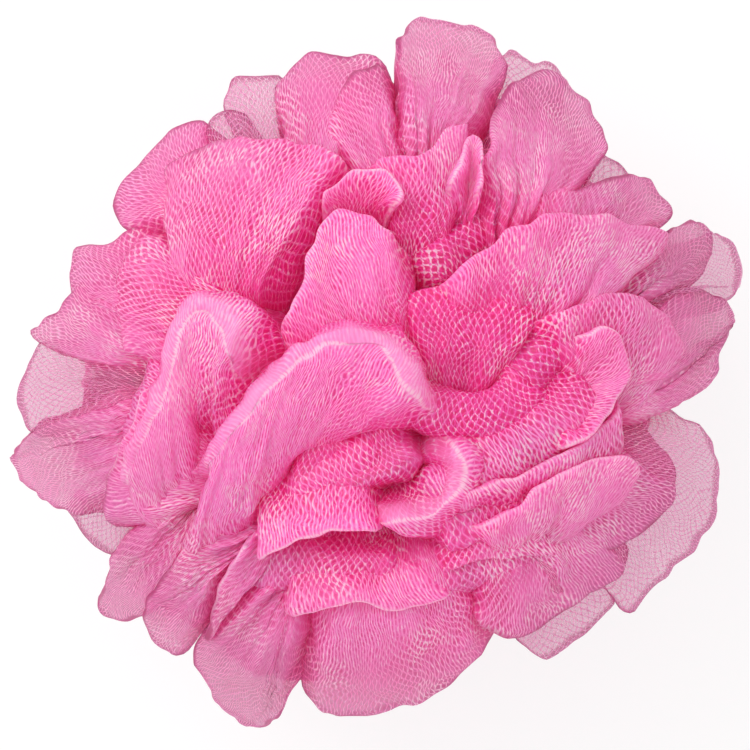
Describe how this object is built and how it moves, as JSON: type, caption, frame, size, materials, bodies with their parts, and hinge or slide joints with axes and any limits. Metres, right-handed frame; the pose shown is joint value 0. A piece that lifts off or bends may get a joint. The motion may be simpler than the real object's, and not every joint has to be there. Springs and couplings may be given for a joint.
{
  "type": "mesh bath pouf",
  "caption": "Round bath pouf of pink plastic netting, folded into soft ruffles and bound round the middle by a hidden cord tie.",
  "frame": {"origin": "on the surface the pouf lies on, under the middle of its box", "axes": "+Z up, out of the side of the ball that the picture shows; +X to the right and +Y up in the picture"},
  "size_m": [0.146, 0.1414, 0.117],
  "materials": {
    "pink netting": "satin",
    "pink cord": "matte"
  },
  "bodies": {
    "root": {"netting": "pink netting", "tie": "pink cord"}
  },
  "joints": []
}
